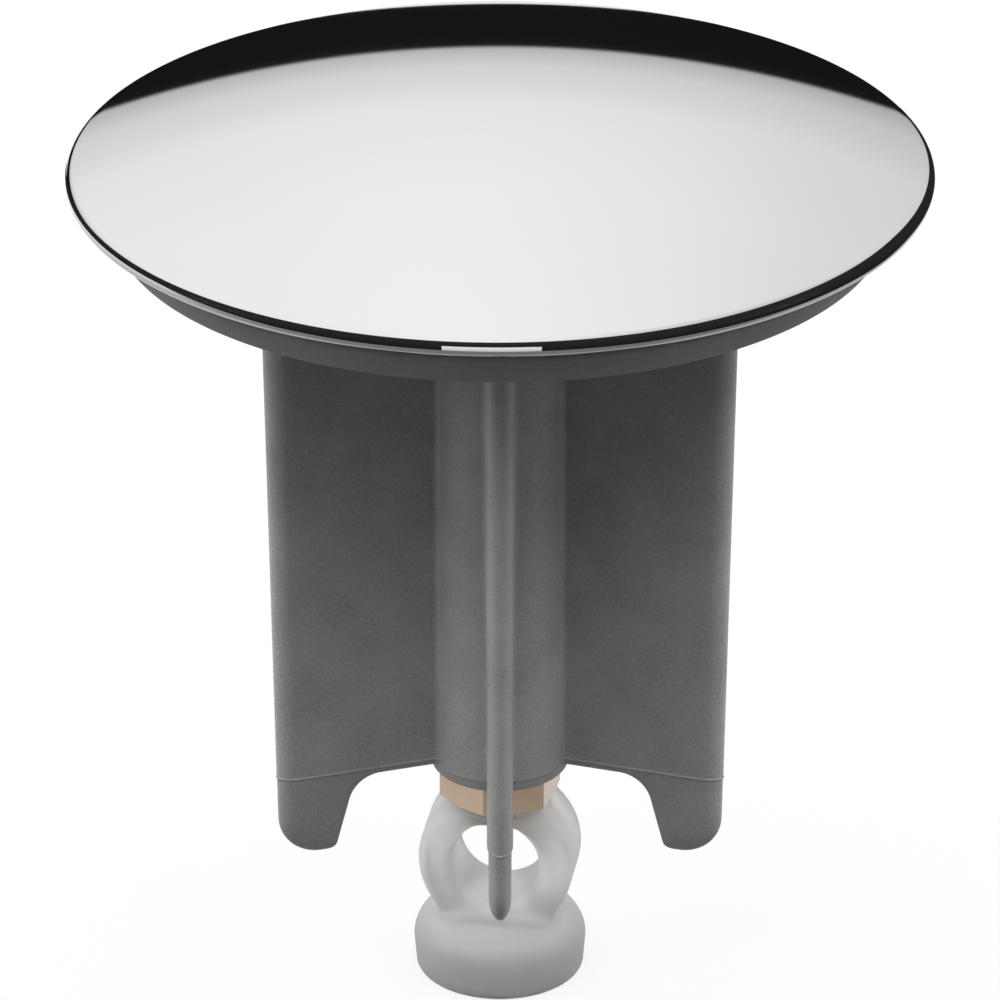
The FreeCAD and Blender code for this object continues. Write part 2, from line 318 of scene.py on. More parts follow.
@dataclass(frozen=True)
class MilkyPlastic(Finish):
    """Milky white moulded plastic that lets a little light through."""

    name: str = "milky_plastic"
    # painted shade: the first colour low in the foot, the second higher up, changing between the next two
    # heights
    foot_shade: Triple = (0.58, 0.574, 0.567)
    unshaded: Triple = (0.90, 0.893, 0.885)
    foot_shade_below: float = 3.0
    foot_shade_above: float = 7.5
    cloud_waves: float = 0.5
    cloud_share: float = 0.08
    flow_waves: float = 0.9
    flow_stretch: Triple = (1.0, 1.0, 3.0)
    flow_share: float = 0.06
    skin_waves: float = 6.0
    skin_share: float = 0.5
    relief: float = 0.006
    roughness: float = 0.42
    roughness_spread: float = 0.14
    glow: float = 1.0
    glow_depth: float = 4.0
    clearness: float = 0.4

    def dress(self, shader: Shader) -> dict[str, Value]:
        """Cloudy tone with painted shade that darkens the foot towards the bottom, faint flow marks and a
        waxy skin.
        """
        place = shader.place()
        clouds = shader.noise(place, self.cloud_waves, detail=4.0)
        flow = shader.noise(shader.stretched(place, self.flow_stretch), self.flow_waves, detail=3.0)
        skin = shader.noise(place, self.skin_waves)
        # painted shade: the colour is darker low in the foot and lighter higher up
        above_foot = shader.part(place, "Z") - self.foot_shade_below
        unshaded = shader.ramp(above_foot * (1.0 / (self.foot_shade_above - self.foot_shade_below)))
        tone = unshaded * (1.0 - self.cloud_share - self.flow_share) + clouds * self.cloud_share
        return {
            "Base Color": shader.tinted(tone + flow * self.flow_share, self.foot_shade, self.unshaded),
            "Roughness": self.roughness + self.roughness_spread * flow,
            "Transmission Weight": self.clearness,
            "Subsurface Weight": self.glow,
            "Subsurface Radius": (1.0, 1.0, 1.0),
            "Subsurface Scale": self.glow_depth * MM,
            "Normal": shader.bump(skin * self.skin_share + flow * (1.0 - self.skin_share), self.relief),
        }


@dataclass(frozen=True)
class MachinedBrass(Finish):
    """Brass with tool marks, dulled by handling."""

    name: str = "machined_brass"
    dark: Triple = (0.56, 0.42, 0.27)
    light: Triple = (0.72, 0.57, 0.37)
    roughness: float = 0.30
    roughness_spread: float = 0.16
    marks: Triple = (0.5, 0.5, 9.0)
    mark_share: float = 0.35
    tarnish_waves: float = 0.6
    relief: float = 0.01
    metallic: float = 1.0
    lacquer: float = 0.0

    def dress(self, shader: Shader) -> dict[str, Value]:
        """Tool marks along the surface, with darker tarnish in slow patches."""
        place = shader.place()
        marks = shader.noise(shader.stretched(place, self.marks), scale=1.0, detail=3.0)
        tarnish = shader.noise(place, self.tarnish_waves, detail=4.0)
        tone = marks * self.mark_share + tarnish * (1.0 - self.mark_share)
        return {
            "Base Color": shader.tinted(tone, self.dark, self.light),
            "Metallic": self.metallic,
            "Coat Weight": self.lacquer,
            "Roughness": self.roughness + self.roughness_spread * tarnish,
            "Normal": shader.bump(marks, self.relief),
        }


@dataclass
class Patch:
    """Points in millimetres and the four-sided faces between them."""

    points: np.ndarray
    quads: np.ndarray

    @staticmethod
    def grid(points: np.ndarray, wrap_rows: bool = False, wrap_columns: bool = False) -> "Patch":
        """Faces between neighbouring points of a grid.

        Args:
            points: Array of rows by columns by three.
            wrap_rows: Whether the last row meets the first.
            wrap_columns: Whether the last column meets the first.
        """
        rows, columns = points.shape[:2]
        index = np.arange(rows * columns).reshape(rows, columns)
        if wrap_rows:
            index = np.concatenate([index, index[:1]], axis=0)
        if wrap_columns:
            index = np.concatenate([index, index[:, :1]], axis=1)
        quads = np.stack([index[:-1, :-1], index[:-1, 1:], index[1:, 1:], index[1:, :-1]], axis=-1)
        return Patch(points.reshape(-1, 3), quads.reshape(-1, 4))

    @staticmethod
    def joined(patches: Sequence["Patch"]) -> "Patch":
        """All the patches as one."""
        starts = np.cumsum([0] + [len(patch.points) for patch in patches[:-1]])
        quads = [patch.quads + start for patch, start in zip(patches, starts)]
        return Patch(np.concatenate([patch.points for patch in patches]), np.concatenate(quads))

    def turned(self, angle: float) -> "Patch":
        """The patch turned about the upright axis by an angle in radians."""
        cosine, sine = math.cos(angle), math.sin(angle)
        turn = np.array([[cosine, -sine, 0.0], [sine, cosine, 0.0], [0.0, 0.0, 1.0]])
        return Patch(self.points @ turn.T, self.quads)

    def mesh(self, name: str, scale: float = MM) -> bpy.types.Mesh:
        """Mesh with its doubles merged and its faces outwards.

        Args:
            name: Name of the mesh.
            scale: Metres for a unit of the points.
        """
        made = bpy.data.meshes.new(name)
        made.from_pydata((self.points * scale).tolist(), [], self.quads.tolist())
        work = bmesh.new()
        work.from_mesh(made)
        bmesh.ops.remove_doubles(work, verts=work.verts, dist=MERGE_DISTANCE * scale / MM)
        bmesh.ops.dissolve_degenerate(work, edges=work.edges, dist=MERGE_DISTANCE * scale / MM)
        bmesh.ops.recalc_face_normals(work, faces=work.faces)
        work.to_mesh(made)
        work.free()
        return made


def rounded_line(corners: Sequence[Triple], closed: bool, steps: int = 8) -> np.ndarray:
    """Outline through corners, each rounded by an arc tangent to both of its sides.

    Args:
        corners: First coordinate, second coordinate and radius of each corner.
        closed: Whether the last corner joins the first.
        steps: Stretches in each arc.

    Returns:
        Array of points, two coordinates each.
    """
    places = np.array([corner[:2] for corner in corners])
    stretches = []
    for index, (corner, (_, _, radius)) in enumerate(zip(places, corners)):
        free_end = not closed and index in (0, len(corners) - 1)
        if radius <= 0.0 or free_end:
            stretches.append(corner[None, :])
            continue
        back = places[index - 1] - corner
        ahead = places[(index + 1) % len(corners)] - corner
        back = back / np.linalg.norm(back)
        ahead = ahead / np.linalg.norm(ahead)
        half = math.acos(float(np.clip(back @ ahead, -1.0, 1.0))) / 2.0
        bisector = (back + ahead) / np.linalg.norm(back + ahead)
        centre = corner + bisector * radius / math.sin(half)
        sweep = np.linspace(-1.0, 1.0, steps + 1)[:, None] * (math.pi / 2.0 - half)
        across = (ahead - back) / np.linalg.norm(ahead - back)
        stretches.append(centre + radius * (np.sin(sweep) * across - np.cos(sweep) * bisector))
    return np.concatenate(stretches)


def arc(centre: tuple[float, float], radius: float, angle: np.ndarray) -> np.ndarray:
    """Points on a circle in an outline, at angles from the upright."""
    return np.stack([centre[0] + radius * np.sin(angle), centre[1] + radius * np.cos(angle)], axis=-1)


def full_turn(count: int) -> np.ndarray:
    """Angles of one turn in even steps."""
    return np.linspace(0.0, FULL_TURN, count, endpoint=False)


def around(radius: np.ndarray, angle: np.ndarray, height: np.ndarray) -> np.ndarray:
    """Points at each radius, angle and height about the upright axis."""
    across, ahead = radius * np.cos(angle), radius * np.sin(angle)
    return np.stack(np.broadcast_arrays(across, ahead, height), axis=-1)


def lathe(outline: np.ndarray, count: int, closed: bool) -> Patch:
    """Surface of revolution: each outline point (radius, height) goes round the axis in count steps.

    Args:
        outline: Radii and heights.
        count: Steps in a full turn.
        closed: Whether the outline is a loop.
    """
    angle = full_turn(count)[:, None]
    points = around(outline[None, :, 0], angle, outline[None, :, 1])
    return Patch.grid(points, wrap_rows=True, wrap_columns=closed)


def nearest_on_line(points: np.ndarray, line: np.ndarray) -> tuple[np.ndarray, np.ndarray]:
    """Shortest way from each point to a line of straight stretches.

    Args:
        points: Array whose last axis holds two coordinates.
        line: Points of the line.

    Returns:
        Distances to the line and places along it, counted in its points.
    """
    start, run = line[:-1], np.diff(line, axis=0)
    offset = points[..., None, :] - start
    share = np.clip((offset * run).sum(-1) / (run * run).sum(-1), 0.0, 1.0)
    distance = np.linalg.norm(offset - share[..., None] * run, axis=-1)
    nearest = distance.argmin(-1)[..., None]
    place = nearest + np.take_along_axis(share, nearest, -1)
    return np.take_along_axis(distance, nearest, -1)[..., 0], place[..., 0]


def linked(data: bpy.types.ID) -> bpy.types.Object:
    """New object in the scene that has a mesh, a lamp or a camera and its name."""
    made = bpy.data.objects.new(data.name, data)
    bpy.context.scene.collection.objects.link(made)
    return made


def faced(data: bpy.types.ID, place: Vector, aim: Vector) -> bpy.types.Object:
    """New lamp or camera at a place, turned towards a point."""
    made = linked(data)
    made.location = place
    made.rotation_mode = "QUATERNION"
    made.rotation_quaternion = (aim - place).to_track_quat("-Z", "Y")
    return made


def add_piece(mesh: bpy.types.Mesh, material: bpy.types.Material, sharp_degrees: float) -> bpy.types.Object:
    """Put a mesh into the scene as a dressed piece with smooth faces.

    Args:
        mesh: Finished mesh.
        material: Its finish.
        sharp_degrees: Edges that bend by more than this stay sharp.
    """
    mesh.polygons.foreach_set("use_smooth", np.ones(len(mesh.polygons), dtype=bool))
    mesh.set_sharp_from_angle(angle=math.radians(sharp_degrees))
    mesh.materials.append(material)
    return linked(mesh)


def settle(mesh: bpy.types.Mesh, finish: Finish, sharp_degrees: float, body: Body,
           node: str) -> None:
    """Dress a mesh as a piece that stands for a node and rides on its body, and report it.

    Args:
        mesh: Finished mesh.
        finish: Its finish.
        sharp_degrees: Edges that bend by more than this stay sharp.
        body: Body that carries it.
        node: Node that it replaces.
    """
    piece = add_piece(mesh, finish.material(), sharp_degrees)
    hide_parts(node)
    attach(piece, body.value)
    LOG.info("%s rides on %s for %s, %d faces", piece.name, body.value, node, len(mesh.polygons))


@dataclass
class Cap:
    """Domed cap of chromed sheet, its rim folded under into a round bead. Sizes in millimetres."""

    rim_radius: float = 30.75
    rim_height: float = 66.4
    bead_radius: float = 0.75
    rise: float = 5.05
    sheet: float = 0.75
    hem_width: float = 4.0
    turns: int = 288
    dome_points: int = 72
    bead_points: int = 40
    inside_points: int = 40
    sharp_degrees: float = 40.0

    def outline(self) -> np.ndarray:
        """Section from the apex over the dome and round the bead, then back along hem and inside.

        The dome is an arc of a sphere and the bead a circle tangent to it.

        Returns:
            Radii and heights.
        """
        squares = self.rim_radius**2 + self.rise**2 - self.bead_radius**2
        sphere = squares / (2 * (self.rise - self.bead_radius))
        centre = self.rim_height + self.rise - sphere
        edge_angle = math.asin(self.rim_radius / (sphere - self.bead_radius))
        hem_radius = self.rim_radius - self.hem_width
        inside = sphere - self.sheet
        over_dome = np.linspace(0.0, edge_angle, self.dome_points)
        round_bead = np.linspace(edge_angle, math.pi, self.bead_points)[1:]
        back_inside = np.linspace(math.asin(hem_radius / inside), 0.0, self.inside_points)
        return np.concatenate([
            arc((0.0, centre), sphere, over_dome),
            arc((self.rim_radius, self.rim_height), self.bead_radius, round_bead),
            [[hem_radius, self.rim_height - self.bead_radius]],
            arc((0.0, centre), inside, back_inside),
        ])

    def build(self) -> None:
        """Build the cap and dress it."""
        mesh = lathe(self.outline(), self.turns, closed=False).mesh("cap_shell")
        settle(mesh, BrightChrome(), self.sharp_degrees, Body.GUIDE, "cap")


@dataclass
class SealRing:
    """Grey ring that grips the flange under the cap, with a conical outer face. Sizes in millimetres."""

    top: float = 65.65
    bottom: float = 62.25
    flange_low: float = 63.15
    flange_high: float = 64.65
    grip_radius: float = 24.5
    groove_radius: float = 26.55
    base_radius: float = 27.9
    lip_radius: float = 30.1
    neck_radius: float = 29.2
    neck_height: float = 0.5
    top_round: float = 0.1
    neck_round: float = 0.15
    lip_round: float = 0.3
    base_round: float = 0.5
    grip_round: float = 0.2
    turns: int = 240
    sharp_degrees: float = 40.0

    def build(self) -> None:
        """Turn the section round the axis and dress the ring."""
        lip = self.top - self.neck_height
        outline = rounded_line([
            (self.grip_radius, self.top, self.top_round),
            (self.neck_radius, self.top, self.top_round),
            (self.neck_radius, lip, self.neck_round),
            (self.lip_radius, lip, self.lip_round),
            (self.base_radius, self.bottom, self.base_round),
            (self.grip_radius, self.bottom, self.grip_round),
            (self.grip_radius, self.flange_low, 0.0),
            (self.groove_radius, self.flange_low, 0.0),
            (self.groove_radius, self.flange_high, 0.0),
            (self.grip_radius, self.flange_high, 0.0),
        ], closed=True, steps=6)
        finish = GrainedPlastic(name="seal_elastomer", dark=(0.19, 0.19, 0.192), light=(0.28, 0.28, 0.282),
                                roughness=0.58, grain=4.5, relief=0.008)
        mesh = lathe(outline, self.turns, closed=True).mesh("seal_band")
        settle(mesh, finish, self.sharp_degrees, Body.GUIDE, "seal_ring")


@dataclass
class Guide:
    """Grey moulding: flange, boss, column and five fins that end in prongs. Sizes in millimetres."""

    column_radius: float = 5.25
    column_bottom: float = 17.5
    column_foot: float = 5.2
    foot_round: float = 0.3
    ridge: float = 0.08
    ridge_height: float = 18.45
    ridge_dip: float = 0.02
    bush_bore: float = 3.52
    bore_round: float = 0.15
    lower_bush_top: float = 25.5
    upper_bush_bottom: float = 57.65
    channel_radius: float = 2.9
    flange_radius: float = 26.5
    flange_low: float = 63.15
    flange_high: float = 64.65
    flange_fillet: float = 0.4
    flange_round: float = 0.15
    boss_radius: float = 8.0
    boss_top: float = 67.65
    boss_round: float = 0.3
    fin_count: int = 5
    fin_top_radius: float = 18.25
    fin_tip_radius: float = 17.55
    fin_top_half: float = 1.175
    fin_tip_half: float = 0.85
    fin_inside: float = 4.2
    fin_embed: float = 0.5
    edge_reach: float = 1.7
    root_round: float = 0.5
    arch_top: float = 18.35
    arch_round: float = 2.5
    arch_edge: float = 0.4
    prong_bottom: float = 12.2
    prong_root: float = 11.6
    prong_tip: float = 13.3
    prong_outer_round: float = 3.3
    prong_inner_round: float = 1.0
    parting_height: float = 18.92
    parting_step: float = 0.03
    parting_slope: float = 0.06
    parting_ridge: float = 0.08
    crest_above: float = 0.05
    crest_width: float = 0.1
    turns: int = 128
    arc_steps: int = 24
    sharp_degrees: float = 38.0

    def core(self) -> Patch:
        """Column, flange and boss as one turned section with its bores."""
        outline = rounded_line([
            (self.bush_bore, self.column_bottom, self.bore_round),
            (self.column_foot, self.column_bottom, self.foot_round),
            (self.column_radius - self.ridge_dip, self.ridge_height - self.ridge, 0.0),
            (self.column_radius + self.ridge, self.ridge_height, 0.0),
            (self.column_radius, self.ridge_height + 2 * self.ridge, 0.0),
            (self.column_radius, self.flange_low, self.flange_fillet),
            (self.flange_radius, self.flange_low, self.flange_round),
            (self.flange_radius, self.flange_high, self.flange_round),
            (self.boss_radius, self.flange_high, self.boss_round),
            (self.boss_radius, self.boss_top, self.boss_round),
            (self.bush_bore, self.boss_top, 0.0),
            (self.bush_bore, self.upper_bush_bottom, 0.0),
            (self.channel_radius, self.upper_bush_bottom, 0.0),
            (self.channel_radius, self.lower_bush_top, 0.0),
            (self.bush_bore, self.lower_bush_top, 0.0),
        ], closed=True)
        return lathe(outline, self.turns, closed=True)

    def fin_lines(self) -> tuple[np.ndarray, np.ndarray]:
        """Outer and inner edge of a fin, from the flange and from the column down to the prong's end.

        Returns:
            The outer line and the inner line, each as distances from the axis and heights.
        """
        outline = rounded_line([
            (self.fin_top_radius, self.flange_high, 0.0),
            (self.fin_tip_radius, self.prong_bottom, self.prong_outer_round),
            (self.prong_tip, self.prong_bottom, self.prong_inner_round),
            (self.prong_root, self.arch_top, self.arch_round),
            (0.0, self.arch_top, 0.0),
        ], closed=False, steps=self.arc_steps)
        last = 1 + self.arc_steps + 1
        return outline[:last], outline[last:][::-1]

    def half_thickness(self, across: np.ndarray, height: np.ndarray) -> np.ndarray:
        """Half of a fin's thickness away from its edges.

        It tapers evenly downwards, swells at the parting line and flares out in an arc at the column.

        Args:
            across: Distance from the axis.
            height: Height.
        """
        share = (self.flange_high - height) / (self.flange_high - self.prong_bottom)
        plain = self.fin_top_half + (self.fin_tip_half - self.fin_top_half) * share + self.swell(height)
        centre_y = plain + self.root_round
        reach = self.column_radius + self.root_round
        centre_x = np.sqrt(reach**2 - centre_y**2)
        inner_x = centre_x * self.column_radius / reach
        run = np.clip(centre_x - across, 0.0, centre_x - inner_x)
        return centre_y - np.sqrt(self.root_round**2 - run**2)

    def swell(self, height: np.ndarray) -> np.ndarray:
        """How far a fin stands out at the parting line: a bell-shaped ridge over a small step in."""
        below = np.clip((self.parting_height - height) / self.parting_slope + 0.5, 0.0, 1.0)
        over_crest = (height - self.parting_height - self.crest_above) / self.crest_width
        crest = np.exp(-(over_crest**2))
        return self.parting_ridge * crest - self.parting_step * below

    def fin(self) -> Patch:
        """One fin in the plane of the X axis.

        A grid of distance and height is lifted on both sides by the half thickness, which falls to
        nothing in half an ellipse at the outer edge and by a small arc at the arch. Rows and columns lie
        closer together where the surface bends.
        """
        outer, inner = self.fin_lines()
        arch_start = inner[1, 0]
        near_arch = np.array([0.22, 0.16, 0.1, 0.05, 0.02, 0.0])
        near_parting = np.linspace(0.32, -0.24, 17)
        upper_rows = np.concatenate([
            [self.flange_low + self.fin_embed],
            np.linspace(self.flange_low - 0.02, self.parting_height + 0.4, 22),
            self.parting_height + near_parting,
            self.arch_top + near_arch,
        ])
        below_arch = np.array([0.0, 0.02, 0.05, 0.09, 0.14, 0.2, 0.3, 0.42])
        near_end = np.array([0.9, 0.7, 0.52, 0.36, 0.22, 0.12, 0.05, 0.015, 0.0])
        lower_rows = np.concatenate([
            self.arch_top - below_arch,
            np.linspace(self.arch_top - 0.6, self.prong_bottom + 1.1, 18),
            self.prong_bottom + near_end,
        ])
        near_root = self.column_radius + np.linspace(-0.3, 0.6, 12)
        to_arch = np.linspace(near_root[-1], arch_start, 6)[1:]
        root_columns = np.concatenate([[self.fin_inside], near_root, to_arch])
        upper_outer = np.interp(-upper_rows, -outer[:, 1], outer[:, 0])
        lower_outer = np.interp(-lower_rows, -outer[:, 1], outer[:, 0])
        lower_inner = np.interp(-lower_rows, -inner[1:, 1], inner[1:, 0])
        upper_inner = np.full_like(upper_rows, arch_start)
        plates = (
            (upper_rows, np.broadcast_to(root_columns, (len(upper_rows), len(root_columns)))),
            (upper_rows, self._columns(upper_inner, upper_outer)),
            (lower_rows, self._columns(lower_inner, lower_outer)),
        )
        sheets = [self._lifted(rows, plate, outer, inner) for rows, plate in plates]
        root_sheet, upper_sheet, lower_sheet = sheets
        seams = [
            self._rim(root_sheet[:, 0]),
            self._rim(np.concatenate([root_sheet[0], upper_sheet[0, 1:]])),
            self._rim(root_sheet[-1]),
            self._rim(lower_sheet[:, 0]),
            self._rim(lower_sheet[-1]),
        ]
        faces = []
        for sheet in sheets:
            faces += [Patch.grid(sheet), Patch.grid(sheet * (1.0, -1.0, 1.0))]
        return Patch.joined(faces + seams)

    @staticmethod
    def _columns(start: np.ndarray, end: np.ndarray) -> np.ndarray:
        """Places across each row, close together near both ends.

        Args:
            start: Inner end of each row.
            end: Outer end of each row.

        Returns:
            Array of rows by columns.
        """
        near_start = np.array([0.0, 0.02, 0.06, 0.12, 0.2, 0.3, 0.42])
        near_end = np.array([1.3, 1.05, 0.82, 0.62, 0.45, 0.31, 0.2, 0.12, 0.06, 0.02, 0.0])
        width = end - start
        scale = np.minimum(1.0, width / (near_start[-1] + near_end[0] + 0.2))
        first = start[:, None] + scale[:, None] * near_start
        last = end[:, None] - scale[:, None] * near_end
        share = np.linspace(0.0, 1.0, 9)[1:-1]
        middle = first[:, -1:] + (last[:, :1] - first[:, -1:]) * share
        return np.concatenate([first, middle, last], axis=1)

    def _lifted(self, rows: np.ndarray, plate: np.ndarray, outer: np.ndarray,
                inner: np.ndarray) -> np.ndarray:
        """One side of a fin over a grid of places.

        Args:
            rows: Height of each row.
            plate: Distance from the axis of each point.
            outer: Outer edge line.
            inner: Inner edge line.

        Returns:
            Points of the side, rows by columns by three.
        """
        height = np.broadcast_to(rows[:, None], plate.shape)
        flat = np.stack([plate, height], axis=-1)
        half = self.half_thickness(plate, height)
        end_arc = inner[::-1][:self.arc_steps + 1]
        distance, along = nearest_on_line(flat, np.concatenate([outer, end_arc]))
        inwards = np.clip((along - len(outer) + 1) / (self.arc_steps + 1), 0.0, 1.0)
        inwards = inwards * inwards * (3.0 - 2.0 * inwards)
        reach = self.edge_reach + (self.arch_edge - self.edge_reach) * inwards
        depth = half + (self.arch_edge - half) * inwards
        outer_lift = half - depth * self._rounding(distance / reach)
        from_inner = nearest_on_line(flat, inner[:-self.arc_steps])[0]
        inner_lift = half - self.arch_edge * self._rounding(from_inner / self.arch_edge)
        lift = np.minimum(outer_lift, inner_lift)
        outwards = np.where(plate > self.prong_tip, self.swell(height) * (1.0 - lift / half), 0.0)
        return np.stack([plate + outwards, lift, height], axis=-1)

    @staticmethod
    def _rounding(share: np.ndarray) -> np.ndarray:
        """How far a rounded edge falls off, from one at the edge to nought where the rounding starts."""
        return 1.0 - np.sqrt(1.0 - (1.0 - np.minimum(share, 1.0)) ** 2)

    @staticmethod
    def _rim(line: np.ndarray) -> Patch:
        """Narrow strip that joins both sides of a fin along one line of points."""
        return Patch.grid(np.stack([line, line * (1.0, -1.0, 1.0)]))

    def build(self) -> None:
        """Join the fins to the turned core and dress the moulding."""
        fin = self.fin()
        step = FULL_TURN / self.fin_count
        fins = [fin.turned(index * step - FULL_TURN / 4) for index in range(self.fin_count)]
        mesh = Patch.joined([self.core()] + fins).mesh("guide_moulding")
        # painted highlight on the side fins' outer edges, with painted shade towards the prong tips from the
        # finish's defaults
        finish = GrainedPlastic(name="guide_plastic_grain", edge_highlight=1.35)
        settle(mesh, finish, self.sharp_degrees, Body.GUIDE, "guide")


@dataclass
class Adjuster:
    """Screw adjuster: threaded stud, lock nut and the eye with its foot. Sizes in millimetres."""

    stud_radius: float = 2.5
    thread_depth: float = 0.4
    thread_pitch: float = 0.8
    thread_low: float = 14.9
    thread_high: float = 36.8
    rows_a_pitch: int = 12
    stud_turns: int = 64
    stud_tip: float = 37.5
    tip_radius: float = 1.8
    spigot_radius: float = 1.9
    spigot_bottom: float = 13.45
    nut_sides: int = 6
    nut_side_steps: int = 14
    nut_flat: float = 4.1
    nut_face_share: float = 0.985
    nut_low: float = 14.9
    nut_high: float = 17.45
    nut_turn: float = 14.3
    nut_slope: float = 20.0
    nut_bore: float = 2.55
    nut_countersink: float = 0.3
    nut_edge: float = 0.03
    eye_height: float = 9.9
    eye_hole: float = 3.35
    eye_outside: float = 5.95
    eye_cheek: float = 1.08
    eye_half_width: float = 3.0
    eye_edge: float = 0.9
    eye_turn: float = -9.0
    eye_top: float = 14.85
    collar_radius: float = 4.0
    collar_height: float = 0.45
    collar_taper: float = 1.0
    foot_radius: float = 6.6
    foot_base_radius: float = 6.4
    foot_height: float = 5.0
    foot_shoulder: float = 2.6
    foot_edge: float = 0.4
    oval_power: float = 0.35
    oval_steps: int = 48
    eye_turns: int = 96
    foot_turns: int = 128
    foot_blend: float = 1.0
    collar_blend: float = 0.6
    voxel: float = 0.15
    fit_rounds: int = 4
    fit_step: float = 1e-3
    least_slope: float = 0.1
    stud_sharp: float = 50.0
    nut_sharp: float = 20.0
    eye_sharp: float = 50.0

    def stud(self) -> Patch:
        """Stud with a right-hand thread.

        The radius falls from the crest by the thread's depth in a triangle wave of height minus pitch
        times turn, and a cone at each end of the thread limits it.
        """
        pitches = (self.thread_high - self.thread_low) / self.thread_pitch
        rows = int(pitches * self.rows_a_pitch) + 1
        height = np.linspace(self.thread_low, self.thread_high, rows)[:, None]
        angle = full_turn(self.stud_turns)[None, :]
        phase = np.mod(height / self.thread_pitch - angle / FULL_TURN, 1.0)
        radius = self.stud_radius - self.thread_depth * np.abs(2.0 * phase - 1.0)
        near_end = np.minimum(height - self.thread_low, self.thread_high - height)
        radius = np.minimum(radius, self.stud_radius - self.thread_depth + near_end)
        plain = np.array([[0.0, self.spigot_bottom], [self.spigot_radius, self.spigot_bottom],
                          [self.spigot_radius, self.thread_low]])
        tip = np.array([[self.tip_radius, self.stud_tip], [0.0, self.stud_tip]])
        radius = np.concatenate([plain[:, :1] + 0.0 * angle, radius, tip[:, :1] + 0.0 * angle])
        height = np.concatenate([plain[:, 1:], height, tip[:, 1:]])
        return Patch.grid(around(radius, angle, height), wrap_columns=True)

    def nut(self) -> Patch:
        """Hexagon nut with corners chamfered below.

        At each angle the side stands at the flat's distance over the cosine of the angle to the nearest
        flat, and the chamfer takes the slope's share of what lies outside the flats' circle.
        """
        side = FULL_TURN / self.nut_sides
        steps = self.nut_sides * self.nut_side_steps
        angle = math.radians(self.nut_turn) + full_turn(steps)
        to_flat = np.mod(angle - math.radians(self.nut_turn), side) - side / 2
        hexagon = self.nut_flat / np.cos(to_flat)
        drop = (hexagon - self.nut_flat) * math.tan(math.radians(self.nut_slope))
        opening = self.nut_bore + self.nut_countersink
        flat = self.nut_face_share * self.nut_flat
        section = (
            (self.nut_bore, self.nut_low + self.nut_countersink),
            (opening, self.nut_low),
            (flat, self.nut_low),
            (hexagon, self.nut_low + self.nut_edge + drop),
            (hexagon, self.nut_high - self.nut_edge),
            (flat, self.nut_high),
            (opening, self.nut_high),
            (self.nut_bore, self.nut_high - self.nut_countersink),
        )
        rings = [around(radius, angle, height) for radius, height in section]
        return Patch.grid(np.stack(rings, axis=1), wrap_rows=True, wrap_columns=True)

    def foot_outline(self) -> np.ndarray:
        """Section of the foot from the axis round its edge and shoulder to the axis again."""
        return rounded_line([
            (0.0, 0.0, 0.0),
            (self.foot_base_radius, 0.0, self.foot_edge),
            (self.foot_radius, self.foot_height - self.foot_shoulder, 0.0),
            (self.foot_radius, self.foot_height, self.foot_shoulder),
            (0.0, self.foot_height, 0.0),
        ], closed=False, steps=16)

    def collar_outline(self) -> np.ndarray:
        """Section of the seat under the nut."""
        low = self.eye_top - self.collar_height
        return np.array([
            [0.0, low - self.collar_taper],
            [self.collar_radius - self.collar_taper, low - self.collar_taper],
            [self.collar_radius, low],
            [self.collar_radius, self.eye_top],
            [0.0, self.eye_top],
        ])

    def eye_wall(self, aside: np.ndarray, rise: np.ndarray) -> tuple[np.ndarray, np.ndarray]:
        """Middle and half of the ring's wall in one direction from the lever's axis.

        The outside is a circle above the axis and half of a tall ellipse below it.

        Args:
            aside: Sideways part of the direction.
            rise: Upward part of the direction.

        Returns:
            Distance of the wall's middle from the axis and half of the wall's thickness.
        """
        drawn_in = np.where(rise < 0.0, rise / self.eye_cheek, rise)
        outside = self.eye_outside * np.hypot(aside, rise) / np.maximum(np.hypot(aside, drawn_in), 1e-9)
        return (outside + self.eye_hole) / 2.0, (outside - self.eye_hole) / 2.0

    def eye_ring(self) -> Patch:
        """Ring round the lever's axis: a full oval, close to its rounded section, carried round the hole."""
        bend = full_turn(self.oval_steps)
        circle = np.stack([np.cos(bend), np.sin(bend)], axis=-1)
        section = np.sign(circle) * np.abs(circle) ** self.oval_power
        angle = full_turn(self.eye_turns)[:, None]
        middle, half_wall = self.eye_wall(np.cos(angle), np.sin(angle))
        reach = middle + half_wall * section[None, :, 0]
        height = np.clip(self.eye_height + reach * np.sin(angle), self.foot_height / 2, self.eye_top)
        along = self.eye_half_width * section[None, :, 1] + 0.0 * angle
        points = np.stack([reach * np.cos(angle), along, height], axis=-1)
        return Patch.grid(points, wrap_rows=True, wrap_columns=True).turned(math.radians(self.eye_turn))

    @staticmethod
    def _outside_section(points: np.ndarray, outline: np.ndarray) -> np.ndarray:
        """Signed distance to a convex turned section that starts and ends on the axis, negative inside.

        Args:
            points: Points, three coordinates each.
            outline: Radii and heights, upwards.
        """
        flat = np.stack([np.hypot(points[:, 0], points[:, 1]), points[:, 2]], axis=-1)
        run = np.diff(outline, axis=0)
        outward = np.stack([run[:, 1], -run[:, 0]], axis=-1) / np.linalg.norm(run, axis=-1)[:, None]
        depth = ((flat[:, None, :] - outline[:-1]) * outward).sum(-1).max(-1)
        return np.where(depth > 0.0, nearest_on_line(flat, outline)[0], depth)

